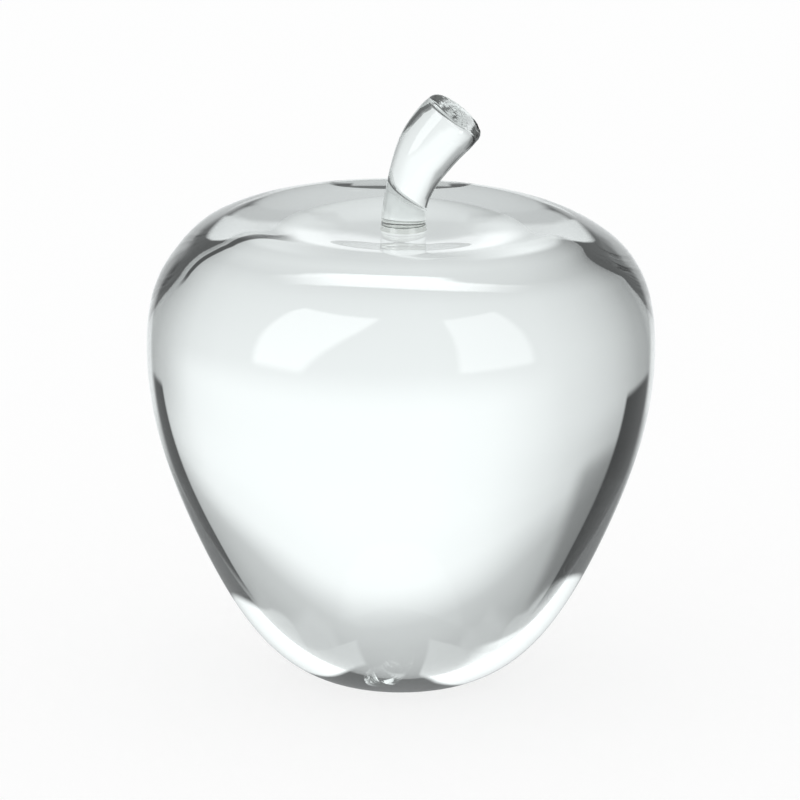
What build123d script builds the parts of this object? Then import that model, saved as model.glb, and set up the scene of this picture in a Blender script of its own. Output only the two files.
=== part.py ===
from build123d import *
import math
import os

# Clear crystal apple paperweight: a solid body with a shallow well in its crown, a bent stem with
# a sheared and fire-polished end, and the thin cured film that joins the stem to the body.
# Millimetres, +Z up, origin at the centre of the flat polished foot.

# Body, a solid of revolution about Z
body_diameter = 85.0
belly_height = 57.8
crown_height = 78.7
crown_diameter = 50.6
foot_diameter = 26.8
heel_angle = 18.0
well_depth = 2.05
seat_diameter = 10.0

# Outline from foot to belly: share of the way out from the foot's edge, share of belly_height
flank_shares = (
    (0.202, 0.051),
    (0.405, 0.151),
    (0.595, 0.301),
    (0.751, 0.464),
    (0.945, 0.745),
)

# Outline from belly to crown: share of the way out from the crown ring, share of the rise
shoulder_shares = (
    (0.884, 0.498),
    (0.709, 0.716),
    (0.535, 0.845),
    (0.36, 0.925),
)

# Well from crown to seat: share of the way out from the seat's edge, share of well_depth
well_shares = (
    (0.675, 0.673),
    (0.345, 0.22),
)

# Stem, drawn out hot, so that it bends to +X and swells towards its sheared end
stem_offset = 0.4
stem_rise = 19.0
stem_reach = 9.2
stem_end_lean = 46.0
stem_foot_diameter = 7.4
stem_neck_diameter = 7.7
stem_bend_diameter = 9.6
stem_swell_diameter = 10.9
stem_end_diameter = 10.5
stem_foot_round = 0.5
rim_round = 1.1
shear_tilt = 8.0
shear_overrun = 4.0

# Centre line of the stem: share of stem_reach, of stem_rise and of stem_end_lean at each section
neck_shares = (0.10, 0.31, 0.33)
bend_shares = (0.33, 0.59, 0.61)
swell_shares = (0.72, 0.865, 0.87)

# Film of clear cement between the seat in the well and the stem's foot, with a bead round it
film_thickness = 0.5
bead_width = 0.25
bead_hollow = 2.6

# Pull of the outline's end tangents, one for each end, at which the curve keeps an even bend
even_pull = (1, 1)

# Worked out from the sizes above
body_radius = body_diameter / 2
crown_radius = crown_diameter / 2
foot_radius = foot_diameter / 2
seat_radius = seat_diameter / 2
stem_foot_radius = stem_foot_diameter / 2
seat_height = crown_height - well_depth
stem_foot_height = seat_height + film_thickness


def between(start, end, share):
    """The value a given share of the way from start to end."""
    return start + share * (end - start)


def stem_point(reach_share, rise_share):
    """A point of the stem's centre line."""
    return Vector(
        stem_offset + reach_share * stem_reach,
        0,
        stem_foot_height + rise_share * stem_rise,
    )


def stem_plane(centre, lean):
    """The plane square to the stem's centre line where it leans that many degrees to +X."""
    turn = math.radians(lean)
    return Plane(
        origin=centre,
        x_dir=(math.cos(turn), 0, -math.sin(turn)),
        z_dir=(math.sin(turn), 0, math.cos(turn)),
    )


os.makedirs("parts", exist_ok=True)

# Apple body: one revolved solid, flat foot, full shoulders, and a gentle bowl with a flat ground seat
with BuildPart() as apple_body:
    with BuildSketch(Plane.XZ):
        with BuildLine():
            foot_edge = (foot_radius, 0)
            belly = (body_radius, belly_height)
            crown = (crown_radius, crown_height)
            seat_edge = (seat_radius, seat_height)
            flank_points = [
                (between(foot_radius, body_radius, out), up * belly_height)
                for out, up in flank_shares
            ]
            shoulder_points = [
                (between(crown_radius, body_radius, out), between(belly_height, crown_height, up))
                for out, up in shoulder_shares
            ]
            well_points = [
                (between(seat_radius, crown_radius, out), between(seat_height, crown_height, up))
                for out, up in well_shares
            ]
            heel_turn = math.radians(heel_angle)
            Line((0, 0), foot_edge)
            Spline(
                foot_edge,
                *flank_points,
                belly,
                tangents=((math.cos(heel_turn), math.sin(heel_turn)), (0, 1)),
                tangent_scalars=even_pull,
            )
            Spline(
                belly,
                *shoulder_points,
                crown,
                tangents=((0, 1), (-1, 0)),
                tangent_scalars=even_pull,
            )
            Spline(
                crown,
                *well_points,
                seat_edge,
                tangents=((-1, 0), (-1, 0)),
                tangent_scalars=even_pull,
            )
            Polyline(seat_edge, (0, seat_height), (0, 0))
        make_face()
    revolve(axis=Axis.Z)
apple_body.part.label = "apple_body"
export_step(apple_body.part, "parts/apple_body.step")

# Stem: round sections along the bend, sheared across the end, with both edges fire-polished
end_plane = stem_plane(stem_point(1, 1), stem_end_lean)
overrun_plane = stem_plane(end_plane.origin + end_plane.z_dir * shear_overrun, stem_end_lean)
shear_plane = Plane(
    origin=end_plane.origin,
    x_dir=end_plane.x_dir,
    z_dir=end_plane.z_dir.rotate(Axis((0, 0, 0), end_plane.x_dir), shear_tilt),
)
stem_sections = [(stem_plane(stem_point(0, 0), 0), stem_foot_diameter)]
for shares, diameter in (
    (neck_shares, stem_neck_diameter),
    (bend_shares, stem_bend_diameter),
    (swell_shares, stem_swell_diameter),
):
    reach_share, rise_share, lean_share = shares
    centre = stem_point(reach_share, rise_share)
    stem_sections.append((stem_plane(centre, lean_share * stem_end_lean), diameter))
stem_sections.append((end_plane, stem_end_diameter))
stem_sections.append((overrun_plane, stem_end_diameter))

with BuildPart() as stem:
    for section_plane, diameter in stem_sections:
        with BuildSketch(section_plane):
            Circle(diameter / 2)
    loft()
    split(bisect_by=shear_plane, keep=Keep.BOTTOM)
    sheared_face = stem.faces().filter_by(GeomType.PLANE).sort_by(Axis.Z)[-1]
    fillet(sheared_face.edges(), rim_round)
    foot_face = stem.faces().filter_by(GeomType.PLANE).sort_by(Axis.Z)[0]
    fillet(foot_face.edges(), stem_foot_round)
stem.part.label = "stem"
export_step(stem.part, "parts/stem.step")

# Bond layer: the film under the stem's foot, and the hollow-faced bead that fills the foot's round
with BuildPart() as bond_layer:
    with BuildSketch(Plane.XZ):
        with BuildLine():
            bead_edge = (stem_offset + stem_foot_radius + bead_width, seat_height)
            bead_top = (stem_offset + stem_foot_radius, stem_foot_height + stem_foot_round)
            film_edge = (stem_offset + stem_foot_radius - stem_foot_round, stem_foot_height)
            Polyline((stem_offset, stem_foot_height), (stem_offset, seat_height), bead_edge)
            RadiusArc(bead_edge, bead_top, bead_hollow)
            RadiusArc(bead_top, film_edge, stem_foot_round)
            Line(film_edge, (stem_offset, stem_foot_height))
        make_face()
    revolve(axis=Axis((stem_offset, 0, 0), (0, 0, 1)))
bond_layer.part.label = "bond_layer"
export_step(bond_layer.part, "parts/bond_layer.step")
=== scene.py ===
import math

import bpy
import numpy
from bpy.props import FloatProperty, FloatVectorProperty, IntProperty, PointerProperty, StringProperty
from mathutils import Matrix, Vector


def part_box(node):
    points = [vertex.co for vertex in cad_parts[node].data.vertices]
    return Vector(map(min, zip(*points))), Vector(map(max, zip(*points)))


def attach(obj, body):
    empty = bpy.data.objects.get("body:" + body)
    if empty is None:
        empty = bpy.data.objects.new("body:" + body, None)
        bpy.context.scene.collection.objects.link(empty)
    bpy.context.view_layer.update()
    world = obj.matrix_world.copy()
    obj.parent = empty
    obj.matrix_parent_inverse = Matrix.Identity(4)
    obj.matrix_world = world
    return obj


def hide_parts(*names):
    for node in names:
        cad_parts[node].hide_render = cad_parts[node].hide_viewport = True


bl_info = {
    "name": "Crystal Apple",
    "version": (1, 0, 0),
    "blender": (4, 5, 0),
    "location": "View3D > Sidebar > Apple",
    "description": "Models a solid crystal apple with a bent, sheared stem, and lights it in a studio",
    "category": "Object",
}

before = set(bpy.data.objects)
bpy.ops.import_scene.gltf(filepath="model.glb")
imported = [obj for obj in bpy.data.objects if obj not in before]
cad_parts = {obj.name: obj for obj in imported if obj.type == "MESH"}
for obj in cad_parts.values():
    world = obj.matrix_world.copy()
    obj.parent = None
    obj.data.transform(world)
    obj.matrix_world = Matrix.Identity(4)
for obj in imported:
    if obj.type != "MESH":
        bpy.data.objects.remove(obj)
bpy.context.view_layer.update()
BELLY_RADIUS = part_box("apple_body")[1][0]
MM = 0.001
# Places closer than these are joined, merged, and taken to lie on a cut
SNAP = MM / 1000
SAME_PLACE = MM / 500
ON_CUT = MM / 200


# Sizes and colours that a user would change


def size(name, description, default_mm):
    """A length property whose default is given in millimetres."""
    default = default_mm * MM
    return FloatProperty(name=name, description=description, default=default, unit="LENGTH", precision=5)


def angle(name, description, default_degrees):
    """An angle property whose default is given in degrees."""
    default = math.radians(default_degrees)
    return FloatProperty(name=name, description=description, default=default, subtype="ANGLE")


def count(name, description, default):
    """A whole number property."""
    return IntProperty(name=name, description=description, default=default)


def level(name, description, default):
    """A property for a brightness, or for the share of it that something takes away."""
    return FloatProperty(name=name, description=description, default=default, min=0.0)


class AppleBodySizes(bpy.types.PropertyGroup):
    belly_height: size("Belly Height", "Height of the widest level above the foot", 57.8)
    crown_height: size("Crown Height", "Height of the highest ring, round the well", 78.7)
    crown_radius: size("Crown Radius", "Radius of the highest ring, round the well", 25.3)
    foot_radius: size("Foot Radius", "Radius of the flat polished foot", 13.4)
    foot_round: size("Foot Round", "Polished softening of the foot's edge", 0.4)
    heel_angle: angle("Heel Angle", "Slope at which the glass leaves the foot", 18)
    well_depth: size("Well Depth", "Depth of the well below the crown", 2.05)
    seat_radius: size("Seat Radius", "Radius of the flat ground seat in the well", 5.0)
    forward_lean: angle("Forward Lean", "How far the hand-worked crown leans to the front", 1)
    side_lean: angle("Side Lean", "How far the hand-worked crown leans to the stem's side", 1)
    round_steps: count("Round Steps", "Faces round the body", 256)
    curve_steps: count("Curve Steps", "Rings from point to point", 14)


class StemSizes(bpy.types.PropertyGroup):
    offset: size("Offset", "How far the stem stands off the body's axis", 0.4)
    rise: size("Rise", "Height from the foot to the centre of the sheared end", 19.0)
    reach: size("Reach", "Sideways way from the foot to the centre of the sheared end", 9.2)
    end_lean: angle("End Lean", "Lean of the stem at its end", 46)
    shear_lift: angle("Shear Lift", "Turn of the sheared face to the upright", 7)
    shear_tilt: angle("Shear Tilt", "Turn of the sheared face to the front", 8)
    foot_radius: size("Foot Radius", "Radius at the foot", 3.7)
    neck_radius: size("Neck Radius", "Radius above the foot", 3.85)
    bend_radius: size("Bend Radius", "Radius in the bend", 4.8)
    swell_radius: size("Swell Radius", "Radius where the stem is thickest", 5.45)
    end_radius: size("End Radius", "Radius at the sheared end", 5.25)
    foot_round: size("Foot Round", "Fire-polished round of the foot's edge", 0.5)
    rim_round: size("Rim Round", "Fire-polished round of the sheared end's rim", 1.1)
    crown: size("Crown", "How far the sheared face bulges in its middle", 0.5)
    tear: size("Tear", "Depth of the torn grain on the sheared face", 0.05)
    pit: size("Pit", "Radius of the open bubbles in the sheared face", 0.5)
    round_steps: count("Round Steps", "Faces round the stem", 128)
    curve_steps: count("Curve Steps", "Rings from section to section", 24)
    face_rings: count("Face Rings", "Rings of the sheared face", 24)


class BondSizes(bpy.types.PropertyGroup):
    film: size("Film", "Thickness of the cured film under the stem", 0.5)
    bead_width: size("Bead Width", "Width of the bead round the stem's foot", 0.25)
    contact: size("Contact", "How far the clear pieces dip into each other, with no air between", 0.02)
    round_steps: count("Round Steps", "Faces round the film", 96)
    curve_steps: count("Curve Steps", "Rings of the bead's hollow face", 6)


class GlassLook(bpy.types.PropertyGroup):
    crystal: StringProperty(name="Crystal", description="Tint of the crystal, sRGB hex", default="FBFDFC")
    crystal_ior: FloatProperty(name="Crystal IOR", description="Refractive index of crystal", default=1.52)
    cement: StringProperty(name="Cement", description="Tint of the cured cement, sRGB hex", default="F6F7F4")
    cement_ior: FloatProperty(name="Cement IOR", description="Refractive index of cement", default=1.50)
    ripple_depth: size("Ripple Depth", "Height of the surface's slow ripple at full strength", 0.1)


class StudioLook(bpy.types.PropertyGroup):
    elevation: angle("Elevation", "Camera's angle above the horizon", 15)
    distance: size("Distance", "Camera's distance from its aim", 1005.9)
    lens: FloatProperty(name="Lens", description="Focal length in millimetres", default=270.0)
    aim: FloatVectorProperty(
        name="Aim",
        description="Point at the middle of the picture",
        default=(-0.17 * MM, 0, 47.15 * MM),
        unit="LENGTH",
    )
    floor_radius: size("Floor Radius", "Radius of the pale floor", 4000)
    floor_glow: level("Floor Glow", "Share of the floor's light that is its own", 0.7)
    bounces: count("Bounces", "Turns of the light that are followed inside the glass", 32)


class LightLevels(bpy.types.PropertyGroup):
    core: level("Core", "Light added in the middle of the sweep", 0.14)
    dim_left: level("Dim Left", "Share of its light that the sweep loses on the left", 0.45)
    rear_box: level("Rear Box", "Softbox over the sweep, on the left", 0.6)
    near_left: level("Near Left", "Light added on the near floor, on the left", 0.45)
    near_right: level("Near Right", "Light added on the near floor, on the right", 0.15)
    flags: level("Flags", "Share of the light that the black flags beside the sweep take away", 0.96)
    seam: level("Seam", "Share of the light that the seam in the floor takes away", 0.9)
    low_floor: level("Low Floor", "Floor, off the inner faces", 0.75)
    low_walls: level("Low Walls", "Walls below the horizon, off the inner faces", 0.7)
    high_walls: level("High Walls", "Walls above the horizon, off the inner faces", 0.98)
    tall_boxes: level("Tall Boxes", "Tall softboxes by the camera, off the inner faces", 1.3)
    dark_room: level("Dark Room", "Darkest light that comes off the inner faces", 0.08)
    past_sweep: level("Past Sweep", "Light past the sweep that runs along the rim", 0.65)
    astray: level("Astray", "Any other light that runs along the rim", 0.15)
    glow: level("Glow", "Glow of the sweep in the outer face", 0.7)
    left_box: level("Left Box", "Left softbox in the outer face", 3.2)
    right_box: level("Right Box", "Right softbox in the outer face", 2.4)
    strip: level("Strip", "Strip light overhead in the outer face", 5.5)


class CrystalApple(bpy.types.PropertyGroup):
    body: PointerProperty(type=AppleBodySizes)
    stem: PointerProperty(type=StemSizes)
    bond: PointerProperty(type=BondSizes)
    glass: PointerProperty(type=GlassLook)
    studio: PointerProperty(type=StudioLook)
    light: PointerProperty(type=LightLevels)


# Modelling helpers


def nothing_selected():
    """Leaves object mode with nothing selected, because every operator acts on what is selected."""
    if bpy.context.object and bpy.context.object.mode != "OBJECT":
        bpy.ops.object.mode_set(mode="OBJECT")
    bpy.ops.object.select_all(action="DESELECT")


def even_pulls(points, start, end):
    """Directions at the points of the smoothest cubic through them, in chord length, and the spans."""
    points = numpy.array([tuple(p) for p in points], dtype=float)
    spans = numpy.linalg.norm(numpy.diff(points, axis=0), axis=1)
    count = len(points)
    system = numpy.identity(count)
    wanted = numpy.zeros(points.shape)
    wanted[0] = tuple(start)
    wanted[-1] = tuple(end)
    for i in range(1, count - 1):
        before, after = spans[i - 1], spans[i]
        system[i, i - 1 : i + 2] = after, 2 * (before + after), before
        rise = after / before * (points[i] - points[i - 1])
        run = before / after * (points[i + 1] - points[i])
        wanted[i] = 3 * (rise + run)
    return [Vector(pull) for pull in numpy.linalg.solve(system, wanted)], spans


def smooth_stretch(points, start, end):
    """Bezier points (place, left handle, right handle) of the smoothest curve through the points."""
    pulls, spans = even_pulls(points, start, end)
    stretch = []
    for i, point in enumerate(points):
        point = Vector(point)
        before = spans[i - 1] if i else 0
        after = spans[i] if i < len(spans) else 0
        stretch.append([point, point - pulls[i] * before / 3, point + pulls[i] * after / 3])
    return stretch


def joined(*stretches):
    """One run of Bezier points: stretches join where their ends meet, and by a straight line elsewhere."""
    run = []
    for stretch in stretches:
        if run and (run[-1][0] - stretch[0][0]).length < SNAP:
            run[-1][2] = stretch[0][2]
            run += stretch[1:]
        else:
            if run:
                run[-1][2] = run[-1][0].lerp(stretch[0][0], 1 / 3)
                stretch[0][1] = run[-1][0].lerp(stretch[0][0], 2 / 3)
            run += stretch
    return run


def corner(x, z):
    """A Bezier point where straight lines meet."""
    point = Vector((x, 0, z))
    return [[point, point.copy(), point.copy()]]


def drawn_curve(name, run, steps):
    """A curve object through the Bezier points, selected and active."""
    nothing_selected()
    bpy.ops.curve.primitive_bezier_curve_add(location=(0, 0, 0))
    obj = bpy.context.object
    obj.name = obj.data.name = name
    obj.data.dimensions = "3D"
    obj.data.resolution_u = steps
    spline = obj.data.splines[0]
    spline.bezier_points.add(len(run) - len(spline.bezier_points))
    for knot, (place, left, right) in zip(spline.bezier_points, run):
        knot.handle_left_type = knot.handle_right_type = "FREE"
        knot.co = place
        knot.handle_left = left
        knot.handle_right = right
    return obj


def select_vertices(obj, wanted):
    """Selects in edit mode the vertices whose place passes the test."""
    bpy.ops.object.mode_set(mode="EDIT")
    bpy.ops.mesh.select_mode(type="VERT")
    bpy.ops.mesh.select_all(action="DESELECT")
    bpy.ops.object.mode_set(mode="OBJECT")
    for vertex in obj.data.vertices:
        vertex.select = wanted(vertex.co)
    bpy.ops.object.mode_set(mode="EDIT")


def tidy_shell(obj, sharp=30):
    """Merges doubles, turns the faces outwards and shades the closed shell smooth."""
    bpy.ops.object.mode_set(mode="EDIT")
    bpy.ops.mesh.select_all(action="SELECT")
    bpy.ops.mesh.remove_doubles(threshold=SAME_PLACE)
    bpy.ops.mesh.normals_make_consistent(inside=False)
    bpy.ops.object.mode_set(mode="OBJECT")
    bpy.ops.object.shade_smooth_by_angle(angle=math.radians(sharp))


def spun_shell(name, run, curve_steps, round_steps, axis_x=0.0):
    """A solid of revolution: the outline turned once round the upright axis at axis_x."""
    obj = drawn_curve(name, run, curve_steps)
    bpy.ops.object.convert(target="MESH")
    bpy.ops.object.mode_set(mode="EDIT")
    bpy.ops.mesh.select_all(action="SELECT")
    bpy.ops.mesh.spin(steps=round_steps, angle=2 * math.pi, center=(axis_x, 0, 0), axis=(0, 0, 1))
    tidy_shell(obj)
    return obj


def rounded_cap(centre, outward, radius, round_size, bulge, steps=10, rings=8):
    """Closes the selected open end: a quarter round at the edge, then a bulged face to the centre."""
    centre = Vector(centre)
    outward = Vector(outward).normalized()
    ways = []
    for i in range(1, steps + 1):
        turn = math.pi / 2 * i / steps
        ways.append((round_size * math.sin(turn), radius - round_size * (1 - math.cos(turn))))
    flat = radius - round_size
    for i in range(1, rings):
        share = 1 - i / rings
        ways.append((round_size + bulge * (1 - share * share), flat * share))
    height, width = 0.0, radius
    for next_height, next_width in ways:
        bpy.ops.mesh.extrude_edges_move()
        bpy.ops.transform.translate(value=outward * (next_height - height))
        scale = next_width / width
        bpy.ops.transform.resize(value=(scale,) * 3, center_override=centre + outward * next_height)
        height, width = next_height, next_width
    bpy.ops.mesh.extrude_edges_move()
    bpy.ops.mesh.merge(type="CENTER")


# Materials


def linear(hex_colour):
    """An sRGB hex value as a linear colour."""
    parts = [int(hex_colour[i : i + 2], 16) / 255 for i in (0, 2, 4)]
    return (*[c / 12.92 if c <= 0.04045 else ((c + 0.055) / 1.055) ** 2.4 for c in parts], 1.0)


def add_node(tree, kind, settings=None, **inputs):
    """Adds a node. Settings are its own values; inputs are socket values or the sockets that feed them."""
    node = tree.nodes.new(kind)
    for key, value in (settings or {}).items():
        setattr(node, key, value)
    for key, value in inputs.items():
        socket = node.inputs[int(key[1:]) if key[0] == "i" and key[1:].isdigit() else key.replace("_", " ")]
        if isinstance(value, bpy.types.NodeSocket):
            tree.links.new(value, socket)
        else:
            socket.default_value = value
    return node


def clear_material(name, tint, ior, ripple, ripple_size, ripple_depth):
    """Clear polished glass: all light passes, and the surface has a faint slow ripple from hand finishing."""
    material = bpy.data.materials.new(name)
    material.use_nodes = True
    tree = material.node_tree
    tree.nodes.clear()
    place = add_node(tree, "ShaderNodeTexCoord").outputs["Object"]
    waves = add_node(tree, "ShaderNodeTexNoise", Vector=place, Scale=1 / ripple_size, Detail=1.0)
    bump = add_node(tree, "ShaderNodeBump", Height=waves.outputs[0], Strength=ripple, Distance=ripple_depth)
    glass = add_node(
        tree,
        "ShaderNodeBsdfPrincipled",
        Base_Color=linear(tint),
        Roughness=0.0,
        IOR=ior,
        Transmission_Weight=1.0,
        Normal=bump.outputs[0],
    )
    add_node(tree, "ShaderNodeOutputMaterial", Surface=glass.outputs[0])
    return material


def crystal(look):
    """Lead-free crystal, press formed, then fire and wheel polished: water clear, with a slow ripple."""
    return bpy.data.materials.get("polished_crystal") or clear_material(
        "polished_crystal",
        look.crystal,
        look.crystal_ior,
        ripple=0.05,
        ripple_size=18 * MM,
        ripple_depth=look.ripple_depth,
    )


def cement(look):
    """Clear light-cured cement: a shade yellower than the crystal, and glossy where it cured in air."""
    return bpy.data.materials.get("cured_cement") or clear_material(
        "cured_cement",
        look.cement,
        look.cement_ior,
        ripple=0.1,
        ripple_size=2 * MM,
        ripple_depth=look.ripple_depth,
    )


def dressed(obj, node, material):
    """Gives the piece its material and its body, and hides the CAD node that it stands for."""
    obj.data.materials.clear()
    obj.data.materials.append(material)
    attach(obj, "root")
    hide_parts(node)


# Pieces


class OBJECT_OT_add_apple_body(bpy.types.Operator):
    """Model the solid crystal body with its foot, shoulders and well"""

    bl_idname = "object.add_apple_body"
    bl_label = "Apple Body"

    # Outline from foot to belly: share of the way out from the foot's edge, share of the belly's height
    flank_shares = ((0.202, 0.051), (0.405, 0.151), (0.595, 0.301), (0.751, 0.464), (0.945, 0.745))
    # Outline from belly to crown: share of the way out from the crown ring, share of the rise
    shoulder_shares = ((0.884, 0.498), (0.709, 0.716), (0.535, 0.845), (0.36, 0.925))
    # Well from crown to seat: share of the way out from the seat's edge, share of the well's depth
    well_shares = ((0.675, 0.673), (0.345, 0.22))
    # Shares of the crown ring's radius: the crown leans beyond the first, and its lean fades over the second
    lean_from_share = 1 / 2
    lean_fade_share = 1 / 3

    def execute(self, context):
        apple = context.scene.crystal_apple
        sizes = apple.body
        crown_height = sizes.crown_height
        seat_height = crown_height - sizes.well_depth
        foot = sizes.foot_radius
        rise = Vector((math.cos(sizes.heel_angle), 0, math.sin(sizes.heel_angle)))
        outline = [Vector((foot, 0, 0)) + rise * sizes.foot_round]
        for out, up in self.flank_shares:
            outline.append(Vector((foot + out * (BELLY_RADIUS - foot), 0, up * sizes.belly_height)))
        outline.append(Vector((BELLY_RADIUS, 0, sizes.belly_height)))
        for out, up in self.shoulder_shares:
            x = sizes.crown_radius + out * (BELLY_RADIUS - sizes.crown_radius)
            z = sizes.belly_height + up * (crown_height - sizes.belly_height)
            outline.append(Vector((x, 0, z)))
        outline.append(Vector((sizes.crown_radius, 0, crown_height)))
        side = smooth_stretch(outline, rise, (-1, 0, 0))
        dip = [Vector((sizes.crown_radius, 0, crown_height))]
        for out, up in self.well_shares:
            x = sizes.seat_radius + out * (sizes.crown_radius - sizes.seat_radius)
            dip.append(Vector((x, 0, seat_height + up * sizes.well_depth)))
        dip.append(Vector((sizes.seat_radius, 0, seat_height)))
        well = smooth_stretch(dip, (-1, 0, 0), (-1, 0, 0))
        flat = corner(foot - sizes.foot_round, 0)
        run = joined(corner(0, 0), flat, side, well, corner(0, seat_height))
        edge = Vector((foot, 0, 0))
        run[1][2] = run[1][0].lerp(edge, 2 / 3)
        run[2][1] = run[2][0].lerp(edge, 2 / 3)
        body = spun_shell("crystal_body", run, sizes.curve_steps, sizes.round_steps)
        # The crown was worked by hand and leans a little, while the seat stays level
        lean_from = self.lean_from_share * sizes.crown_radius
        for axis, lean in (("X", sizes.forward_lean), ("Y", sizes.side_lean)):
            select_vertices(body, lambda place: place.z > seat_height and place.xy.length > lean_from)
            bpy.ops.transform.rotate(
                value=-lean,
                orient_axis=axis,
                center_override=(0, 0, seat_height),
                use_proportional_edit=True,
                proportional_edit_falloff="SMOOTH",
                proportional_size=self.lean_fade_share * sizes.crown_radius,
            )
            bpy.ops.object.mode_set(mode="OBJECT")
        dressed(body, "apple_body", crystal(apple.glass))
        return {"FINISHED"}


class OBJECT_OT_add_apple_stem(bpy.types.Operator):
    """Model the bent stem with its sheared and fire-polished end"""

    bl_idname = "object.add_apple_stem"
    bl_label = "Stem"

    # Sections of the stem: share of its reach, share of its rise, and the size that gives its radius
    section_shares = (
        (0.0, 0.0, "foot_radius"),
        (0.10, 0.31, "neck_radius"),
        (0.33, 0.59, "bend_radius"),
        (0.72, 0.865, "swell_radius"),
        (1.0, 1.0, "end_radius"),
    )
    # Open bubbles in the sheared face: share of its radius to the low side and to the back, share of the size
    pit_shares = ((0.72, 0.3, 1.0), (0.8, 0.05, 0.7), (0.6, 0.5, 0.6))
    # Share of the end's radius by which the stem is drawn too long, for the shear to cut off
    overrun_share = 1.5
    # Shares of the rim's round: how far in the grain starts, and how far below the end's centre it may lie
    smooth_rim_share = 0.85
    grain_depth_share = 0.05
    grain_smoothing = 0.3
    grain_seed = 3

    def execute(self, context):
        apple = context.scene.crystal_apple
        sizes = apple.stem
        foot_height = apple.body.crown_height - apple.body.well_depth + apple.bond.film - apple.bond.contact
        foot = Vector((sizes.offset, 0, foot_height))
        points = []
        for out, up, _ in self.section_shares:
            z = sizes.foot_round + up * (sizes.rise - sizes.foot_round)
            points.append(foot + Vector((out * sizes.reach, 0, z)))
        along = Vector((math.sin(sizes.end_lean), 0, math.cos(sizes.end_lean)))
        end = points[-1]
        run = smooth_stretch(points, (0, 0, 1), along)
        past = end + along * self.overrun_share * sizes.end_radius
        run = joined(run, [[past, past.copy(), past.copy()]])
        stem = drawn_curve("crystal_stem", run, sizes.curve_steps)
        knots = stem.data.splines[0].bezier_points
        for knot, (_, _, radius) in zip(knots, self.section_shares):
            knot.radius = getattr(sizes, radius)
        knots[len(knots) - 1].radius = sizes.end_radius
        stem.data.splines[0].radius_interpolation = "CARDINAL"
        stem.data.bevel_depth = 1.0
        stem.data.bevel_resolution = sizes.round_steps // 4 - 2
        bpy.ops.object.convert(target="MESH")
        # The shear cuts across the end, and leaves room for the rim's round
        face_lean = sizes.end_lean - sizes.shear_lift
        low_side = Vector((math.cos(face_lean), 0, -math.sin(face_lean)))
        lifted = Vector((math.sin(face_lean), 0, math.cos(face_lean)))
        outward = Matrix.Rotation(sizes.shear_tilt, 3, low_side) @ lifted
        cut = end - outward * sizes.rim_round
        bpy.ops.object.mode_set(mode="EDIT")
        bpy.ops.mesh.select_all(action="SELECT")
        bpy.ops.mesh.remove_doubles(threshold=SAME_PLACE)
        bpy.ops.mesh.bisect(plane_co=cut, plane_no=outward, clear_outer=True, threshold=SNAP)
        select_vertices(stem, lambda place: abs((place - cut).dot(outward)) < ON_CUT)
        rounded_cap(cut, outward, sizes.end_radius, sizes.rim_round, sizes.crown, rings=sizes.face_rings)
        self.tear_face(stem, sizes, end, outward, low_side)
        start = points[0]
        select_vertices(stem, lambda place: abs(place.z - start.z) < ON_CUT)
        rounded_cap(start, (0, 0, -1), sizes.foot_radius, sizes.foot_round, 0.0)
        tidy_shell(stem)
        dressed(stem, "stem", crystal(apple.glass))
        return {"FINISHED"}

    def tear_face(self, stem, sizes, middle, outward, low_side):
        """Roughens the face where the shears tore the cooling glass, and opens bubbles at its low side."""
        reach = sizes.end_radius - self.smooth_rim_share * sizes.rim_round
        depth = self.grain_depth_share * sizes.rim_round
        select_vertices(
            stem, lambda place: (place - middle).dot(outward) > -depth and (place - middle).length < reach
        )
        bpy.ops.transform.vertex_random(offset=sizes.tear, uniform=0.0, normal=1.0, seed=self.grain_seed)
        bpy.ops.mesh.vertices_smooth(factor=self.grain_smoothing, repeat=1)
        across = outward.cross(low_side)
        for low, away, share in self.pit_shares:
            centre = middle + (low_side * low + across * away) * sizes.end_radius
            select_vertices(stem, lambda place: (place - centre).length < share * sizes.pit)
            bpy.ops.transform.translate(
                value=-outward * sizes.pit,
                use_proportional_edit=True,
                proportional_edit_falloff="SPHERE",
                proportional_size=share * sizes.pit,
            )


class OBJECT_OT_add_bond_layer(bpy.types.Operator):
    """Model the cured film under the stem and the bead round its foot"""

    bl_idname = "object.add_bond_layer"
    bl_label = "Bond Layer"

    # How deep the bead's face is hollow, as a share of its width
    hollow_share = 1 / 4

    def execute(self, context):
        apple = context.scene.crystal_apple
        sizes = apple.bond
        stem = apple.stem
        seat = apple.body.crown_height - apple.body.well_depth
        top = seat + sizes.film
        middle = stem.offset
        edge = Vector((middle + stem.foot_radius + sizes.bead_width, 0, seat))
        lip = Vector((middle + stem.foot_radius, 0, top + stem.foot_round))
        inwards = Vector((-1, 0, -1)).normalized()
        hollow = edge.lerp(lip, 0.5) + inwards * self.hollow_share * sizes.bead_width
        bead = [
            [edge, edge.copy(), edge.lerp(hollow, 2 / 3)],
            [lip, lip.lerp(hollow, 2 / 3), lip.copy()],
        ]
        inner = corner(middle + stem.foot_radius - sizes.contact, top + stem.foot_round)
        run = joined(
            corner(middle, seat - sizes.contact),
            corner(middle + stem.foot_radius + sizes.bead_width, seat - sizes.contact),
            bead,
            inner,
            corner(middle + stem.foot_radius - stem.foot_round, top),
            corner(middle, top),
        )
        bond = spun_shell("bond_film", run, sizes.curve_steps, sizes.round_steps, middle)
        dressed(bond, "bond_layer", cement(apple.glass))
        return {"FINISHED"}


# Stage, lights and camera


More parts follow.
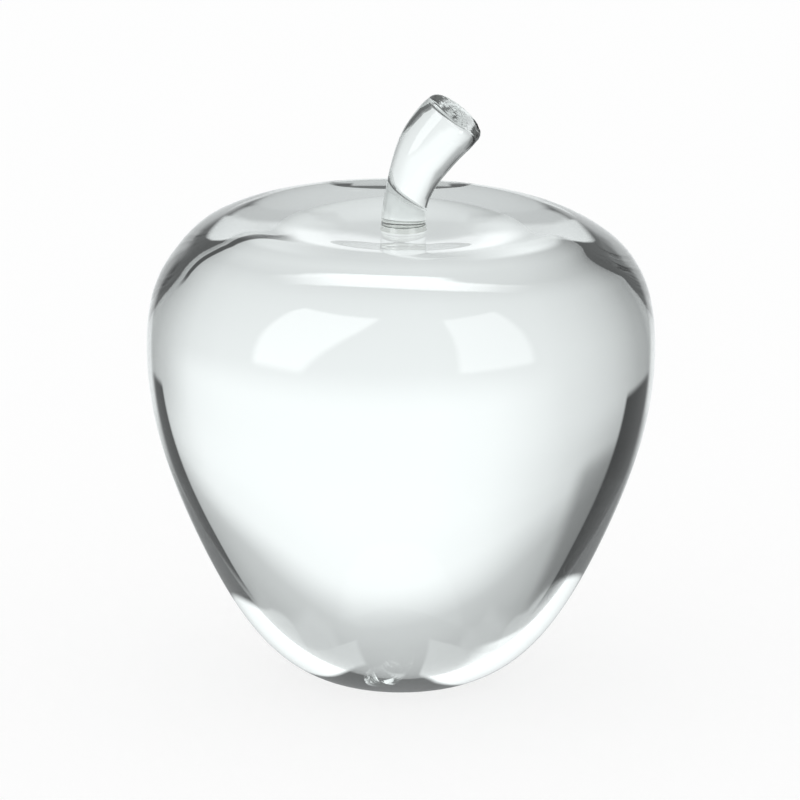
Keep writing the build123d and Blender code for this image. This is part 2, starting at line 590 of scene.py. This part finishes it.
class StudioLight:
    """The studio's light, drawn on the world by direction as nodes.

    A limit is the name of an angle, and the degrees between which the light comes in softly. Where the first
    is above the second, the light goes out instead.
    """

    # Grey level by degrees above the horizon: the floor, the lit sweep round the apple, and the dark above
    sweep_levels = (
        (-90, 0.8),
        (-70, 0.9),
        (-60, 0.9),
        (-55, 0.82),
        (-48, 0.8),
        (-42, 0.86),
        (-37, 0.8),
        (-34, 0.85),
        (-30, 0.9),
        (-24, 0.93),
        (-14, 0.97),
        (6, 0.97),
        (13, 0.93),
        (19, 0.66),
        (26, 0.59),
        (35, 0.55),
        (50, 0.52),
        (90, 0.6),
    )
    # The lit part's top stands highest at its middle, a little to the right, and sinks to the sides
    top_middle = 10
    top_rise = 1.5
    top_slope = 0.15
    top_bent = (("up", 3, 9),)
    # How the light falls off by degrees to the side, below and above the horizon
    floor_fall = (
        (-90, 0.95),
        (-78, 0.9),
        (-70, 0.55),
        (-60, 0.56),
        (-45, 0.75),
        (-35, 0.85),
        (-25, 0.93),
        (-5, 1),
        (35, 0.98),
        (45, 0.95),
        (60, 0.76),
        (70, 0.7),
        (78, 0.9),
    )
    sweep_fall = (
        (-90, 0.95),
        (-78, 0.9),
        (-70, 0.5),
        (-55, 0.5),
        (-45, 0.61),
        (-38, 0.72),
        (-28, 0.87),
        (-15, 0.95),
        (-5, 1),
        (40, 1),
        (52, 0.95),
        (60, 0.85),
        (78, 0.95),
    )
    above_horizon = (("up", -4, 4),)
    core = (("side", -32, -12), ("side", 60, 40), ("up", -14, -7), ("up", 18, 12))
    dim_left = (("side", -33, -40), ("side", -78, -72), ("up", 3, 8), ("up", 28, 22))
    rear_box = (("over_box_foot", 24, 27), ("side", -20, -34), ("spread", 55, 51))
    box_foot_slope = 0.25
    near_floor = (("up", -45.5, -48.5), ("up", -70, -62))
    near_left = (("side", -10, -40),)
    near_right = (("side", 12, 40),)

    # Black flags beside the sweep, with leaning inner edges. They stand only behind the apple
    flags = (("up", -3.5, -1.5), ("up", 33, 27), ("spread", 76, 68))
    left_flag = (("off_left_flag", -51, -53),)
    right_flag = (("off_right_flag", 60, 62),)
    left_flag_slope = 0.3
    right_flag_slope = 0.35
    behind_apple = (-0.02, 0.02)

    # Dark seam, in places on a floor one unit below: its slope, distance, soft half width and left end
    seam_slope = 0.25
    seam_distance = 0.33
    seam_width = (0.08, 0.05)
    seam_end = (0.38, 0.6)
    seam_below = (("up", -24, -30),)
    least_drop = 0.05

    # What the inner faces send back. Towards the right the softboxes and walls reach less far round and up
    low_floor = (("up", -17, -24),)
    low_rear = (("up", -5, -12), ("turn", 155, 158))
    walls = (("turn", 103, 108), ("narrowed", 155, 149), ("raised", 60, 57))
    high_walls = (("up", -14, -8),)
    tall_boxes = (("turn", 103, 108), ("turned", 161, 156), ("up", 36, 38), ("raised", 60, 57))
    sweep_behind = (("turn", 85, 75), ("up", 32, 22))
    right_loss = 4
    to_the_right = (-0.2, 0.2)
    # The walls end sooner above and below the horizon, by these degrees
    wall_loss_above = 9
    loss_above = (("up", 1.5, 4),)
    wall_loss_below = 4
    loss_below = (("up", -8, -11),)
    past_sweep = (("round_axis", 36, 42), ("round_axis", 62, 56), ("up", -15, -10), ("up", 8, 2))

    # What the outer face mirrors. The strip's places are shares of a direction's length
    room_levels = ((-90, 0.9), (-35, 0.4), (-25, 0.35), (20, 0.25), (40, 0.35), (90, 0.4))
    glow = (("turn", 29, 22), ("up", -23, -16), ("up", 13, 6))
    left_box = (("round_axis", -108, -113), ("off_left_box", -138, -132), ("up", -3, 3), ("up", 58, 53))
    left_box_slope = 0.55
    right_box = (("round_axis", 116, 121), ("round_axis", 156, 152), ("up", 0, 4), ("up", 54, 50))
    strip_near = (0.2, 0.25)
    strip_far = (0.42, 0.38)
    strip_ends = (0.5, 0.15)
    overhead = (("up", 0, 1),)

    def __init__(self, tree):
        self.tree = tree
        way = add_node(tree, "ShaderNodeTexCoord").outputs["Generated"]
        self.x, self.y, self.z = add_node(tree, "ShaderNodeSeparateXYZ", Vector=way).outputs
        # Above the horizon, round the upright axis from behind the apple, and off the camera's line
        self.up = self.step("ARCSINE", self.z)
        self.round_axis = self.step("ARCTAN2", self.x, self.y)
        self.turn = self.step("ABSOLUTE", self.round_axis)
        self.side = self.step("ARCTAN2", self.x, self.step("ABSOLUTE", self.y))
        self.spread = self.step("ABSOLUTE", self.side)
        # The same, as slanted edges of boxes and flags need them
        self.over_box_foot = self.minus(self.up, self.times(self.spread, self.box_foot_slope))
        self.off_left_flag = self.minus(self.side, self.times(self.up, self.left_flag_slope))
        self.off_right_flag = self.plus(self.side, self.times(self.up, self.right_flag_slope))
        height = self.largest(self.up, 0.0)
        self.off_left_box = self.plus(self.round_axis, self.times(height, self.left_box_slope))
        rightwards = self.minus(self.times(self.edge_of(self.x, *self.to_the_right), 2.0), 1.0)
        loss = self.times(rightwards, math.radians(self.right_loss))
        self.raised = self.plus(self.up, loss)
        self.turned = self.plus(self.turn, loss)
        loss_above = self.times(self.patch(self.loss_above), math.radians(self.wall_loss_above))
        loss_below = self.times(self.patch(self.loss_below), math.radians(self.wall_loss_below))
        self.narrowed = self.plus(self.turn, self.plus(loss_above, loss_below))

    def step(self, operation, first, second=0.0):
        """One step of arithmetic."""
        return add_node(self.tree, "ShaderNodeMath", {"operation": operation}, i0=first, i1=second).outputs[0]

    def chain(self, operation, values):
        """The same step from each value to the next."""
        result = values[0]
        for value in values[1:]:
            result = self.step(operation, result, value)
        return result

    def plus(self, *parts):
        return self.chain("ADD", parts)

    def minus(self, first, second):
        return self.step("SUBTRACT", first, second)

    def times(self, *factors):
        return self.chain("MULTIPLY", factors)

    def largest(self, *levels):
        return self.chain("MAXIMUM", levels)

    def blend(self, share, first, second):
        return add_node(self.tree, "ShaderNodeMix", Factor=share, i2=first, i3=second).outputs[0]

    def dimmed(self, light, patch, share):
        """The light, less a share of it where the patch is."""
        return self.times(light, self.minus(1.0, self.times(patch, share)))

    def edge_of(self, value, start, stop):
        """0 to 1 softly from start to stop. Start above stop makes it fall instead."""
        rising = start < stop
        return add_node(
            self.tree,
            "ShaderNodeMapRange",
            {"interpolation_type": "SMOOTHSTEP"},
            Value=value,
            From_Min=min(start, stop),
            From_Max=max(start, stop),
            To_Min=0.0 if rising else 1.0,
            To_Max=1.0 if rising else 0.0,
        ).outputs[0]

    def patch(self, limits):
        """1 within all the limits and 0 beyond them, with soft edges."""
        edges = []
        for angle_name, start, stop in limits:
            edges.append(self.edge_of(getattr(self, angle_name), math.radians(start), math.radians(stop)))
        return self.times(*edges)

    def ramp(self, value, stops):
        """Grey level by angle: stops are degrees from -90 to 90 and a level up to 2."""
        share = self.plus(self.times(value, 1 / math.pi), 0.5)
        node = add_node(self.tree, "ShaderNodeValToRGB", Fac=share)
        elements = node.color_ramp.elements
        while len(elements) < len(stops):
            elements.new(0.5)
        for element, (degrees, grey) in zip(elements, stops):
            element.position = degrees / 180 + 0.5
            element.color = (grey / 2, grey / 2, grey / 2, 1)
        return self.times(node.outputs[0], 2.0)

    def floor_seam(self):
        """The dark seam that runs over the floor, from before the apple off to the right."""
        drop = self.largest(self.times(self.z, -1.0), self.least_drop)
        forward = self.minus(self.y, self.times(self.x, self.seam_slope))
        off_seam = self.step("ABSOLUTE", self.minus(self.step("DIVIDE", forward, drop), self.seam_distance))
        rightward = self.step("DIVIDE", self.x, drop)
        return self.times(
            self.edge_of(off_seam, *self.seam_width),
            self.edge_of(rightward, *self.seam_end),
            self.patch(self.seam_below),
        )

    def seen_through(self, levels):
        """What shines through: the floor, the lit sweep and the dark above it, between two black flags."""
        off_middle = self.step("ABSOLUTE", self.minus(self.side, math.radians(self.top_middle)))
        sinking = self.minus(self.times(off_middle, self.top_slope), math.radians(self.top_rise))
        height = self.plus(self.up, self.times(sinking, self.patch(self.top_bent)))
        floor_fall = self.ramp(self.side, self.floor_fall)
        sweep_fall = self.ramp(self.side, self.sweep_fall)
        fall = self.blend(self.patch(self.above_horizon), floor_fall, sweep_fall)
        light = self.times(self.ramp(height, self.sweep_levels), fall)
        light = self.dimmed(light, self.patch(self.dim_left), levels.dim_left)
        near_left = self.times(self.patch(self.near_left), levels.near_left)
        near_right = self.times(self.patch(self.near_right), levels.near_right)
        light = self.plus(
            light,
            self.times(self.patch(self.core), levels.core),
            self.times(self.patch(self.rear_box), levels.rear_box),
            self.times(self.plus(near_left, near_right), self.patch(self.near_floor)),
        )
        flags = self.largest(self.patch(self.left_flag), self.patch(self.right_flag))
        flags = self.times(flags, self.patch(self.flags), self.edge_of(self.y, *self.behind_apple))
        light = self.dimmed(light, flags, levels.flags)
        return self.dimmed(light, self.floor_seam(), levels.seam)

    def off_inner_faces(self, levels):
        """What comes back off the inner faces: softboxes in a dark room by the camera, the sweep behind."""
        low_floor = self.largest(self.patch(self.low_floor), self.patch(self.low_rear))
        wall_level = self.blend(self.patch(self.high_walls), levels.low_walls, levels.high_walls)
        return self.largest(
            self.times(low_floor, levels.low_floor),
            self.times(self.patch(self.walls), wall_level),
            self.times(self.patch(self.tall_boxes), levels.tall_boxes),
            self.patch(self.sweep_behind),
            levels.dark_room,
        )

    def along_rim(self, levels):
        """Light that turned many times along the rim, from past the sweep or all over the dim room."""
        return self.plus(self.times(self.patch(self.past_sweep), levels.past_sweep), levels.astray)

    def off_outer_face(self, levels):
        """What the outer face mirrors: the room, two softboxes by the camera and a strip light overhead."""
        strip = self.times(
            self.edge_of(self.y, *self.strip_near),
            self.edge_of(self.y, *self.strip_far),
            self.edge_of(self.step("ABSOLUTE", self.x), *self.strip_ends),
            self.patch(self.overhead),
        )
        return self.plus(
            self.ramp(self.up, self.room_levels),
            self.times(self.patch(self.glow), levels.glow),
            self.times(self.patch(self.left_box), levels.left_box),
            self.times(self.patch(self.right_box), levels.right_box),
            self.times(strip, levels.strip),
        )


class SCENE_OT_set_apple_stage(bpy.types.Operator):
    """Lay the pale floor, light the glass and place the camera"""

    bl_idname = "scene.set_apple_stage"
    bl_label = "Stage"

    # The floor lies this far under the foot
    floor_gap = 0.05 * MM
    floor_corners = 96
    # Between whole numbers of turns, for telling light that turned at least once, or three times
    once = 0.5
    many_times = 2.5
    # The studio lights the glass a shade cooler than the white backdrop
    studio_tint = (0.967, 1.0, 1.006, 1)
    white = (1, 1, 1, 1)
    # Camera: sensor width in millimetres, and shares of its distance where the view starts and ends
    sensor_width = 36
    view_start_share = 0.01
    view_end_share = 20

    def execute(self, context):
        apple = context.scene.crystal_apple
        self.lay_floor(apple.studio)
        self.light_world(context.scene, apple.light)
        self.place_camera(context.scene, apple.studio)
        # Light is turned back many times inside the bent stem before it gets out
        cycles = context.scene.cycles
        cycles.max_bounces = cycles.glossy_bounces = cycles.transmission_bounces = apple.studio.bounces
        context.scene.view_settings.view_transform = "Standard"
        return {"FINISHED"}

    def lay_floor(self, studio):
        nothing_selected()
        bpy.ops.mesh.primitive_circle_add(
            vertices=self.floor_corners,
            radius=studio.floor_radius,
            fill_type="NGON",
            location=(0, 0, -self.floor_gap),
        )
        floor = bpy.context.object
        floor.name = "pale_floor"
        material = bpy.data.materials.new("pale_floor")
        material.use_nodes = True
        tree = material.node_tree
        tree.nodes.clear()
        # Sweep paper lit so brightly from its own side that the apple's shadow is faint
        matt = add_node(tree, "ShaderNodeBsdfDiffuse", Color=self.white).outputs[0]
        lit = add_node(tree, "ShaderNodeEmission", Color=self.white, Strength=1.0).outputs[0]
        paper = add_node(tree, "ShaderNodeMixShader", i0=studio.floor_glow, i1=matt, i2=lit)
        add_node(tree, "ShaderNodeOutputMaterial", Surface=paper.outputs[0])
        floor.data.materials.append(material)
        # The glass sees the floor as part of the studio below, which is drawn by direction
        floor.visible_glossy = floor.visible_transmission = False

    def light_world(self, scene, levels):
        world = bpy.data.worlds.new("studio")
        scene.world = world
        world.use_nodes = True
        tree = world.node_tree
        tree.nodes.clear()
        light = StudioLight(tree)
        path = add_node(tree, "ShaderNodeLightPath").outputs
        mirrored = light.step("GREATER_THAN", path["Glossy Depth"], self.once)
        inside = light.step("GREATER_THAN", path["Transmission Depth"], self.once)
        astray = light.step("GREATER_THAN", path["Glossy Depth"], self.many_times)
        inner = light.blend(astray, light.off_inner_faces(levels), light.along_rim(levels))
        off_faces = light.blend(inside, light.off_outer_face(levels), inner)
        strength = light.blend(mirrored, light.seen_through(levels), off_faces)
        # The backdrop is white, and the floor is lit evenly from all round
        matt = light.step("GREATER_THAN", path["Diffuse Depth"], self.once)
        plain = light.largest(path["Is Camera Ray"], matt)
        tint = add_node(
            tree, "ShaderNodeMix", {"data_type": "RGBA"}, Factor=plain, i6=self.studio_tint, i7=self.white
        )
        strength = light.blend(plain, strength, 1.0)
        shine = add_node(tree, "ShaderNodeBackground", Color=tint.outputs[2], Strength=strength)
        add_node(tree, "ShaderNodeOutputWorld", Surface=shine.outputs[0])

    def place_camera(self, scene, studio):
        data = bpy.data.cameras.new("camera")
        camera = bpy.data.objects.new("camera", data)
        scene.collection.objects.link(camera)
        data.lens = studio.lens
        data.sensor_width = self.sensor_width
        back = Vector((0, -math.cos(studio.elevation), math.sin(studio.elevation)))
        camera.location = Vector(studio.aim) + back * studio.distance
        camera.rotation_euler = (-back).to_track_quat("-Z", "Y").to_euler()
        data.clip_start = studio.distance * self.view_start_share
        data.clip_end = studio.distance * self.view_end_share
        scene.camera = camera


class VIEW3D_PT_crystal_apple(bpy.types.Panel):
    bl_label = "Crystal Apple"
    bl_idname = "VIEW3D_PT_crystal_apple"
    bl_space_type = "VIEW_3D"
    bl_region_type = "UI"
    bl_category = "Apple"

    def draw(self, context):
        apple = context.scene.crystal_apple
        for group, operator in (
            (apple.body, "object.add_apple_body"),
            (apple.bond, "object.add_bond_layer"),
            (apple.stem, "object.add_apple_stem"),
            (apple.glass, None),
            (apple.light, None),
            (apple.studio, "scene.set_apple_stage"),
        ):
            box = self.layout.box()
            for key in group.__annotations__:
                box.prop(group, key)
            if operator:
                box.operator(operator)


CLASSES = (
    AppleBodySizes,
    StemSizes,
    BondSizes,
    GlassLook,
    StudioLook,
    LightLevels,
    CrystalApple,
    OBJECT_OT_add_apple_body,
    OBJECT_OT_add_apple_stem,
    OBJECT_OT_add_bond_layer,
    SCENE_OT_set_apple_stage,
    VIEW3D_PT_crystal_apple,
)


def register():
    for cls in CLASSES:
        bpy.utils.register_class(cls)
    bpy.types.Scene.crystal_apple = PointerProperty(type=CrystalApple)


def unregister():
    del bpy.types.Scene.crystal_apple
    for cls in reversed(CLASSES):
        bpy.utils.unregister_class(cls)


def main():
    register()
    bpy.ops.object.add_apple_body()
    bpy.ops.object.add_bond_layer()
    bpy.ops.object.add_apple_stem()
    bpy.ops.scene.set_apple_stage()


if __name__ == "__main__":
    main()
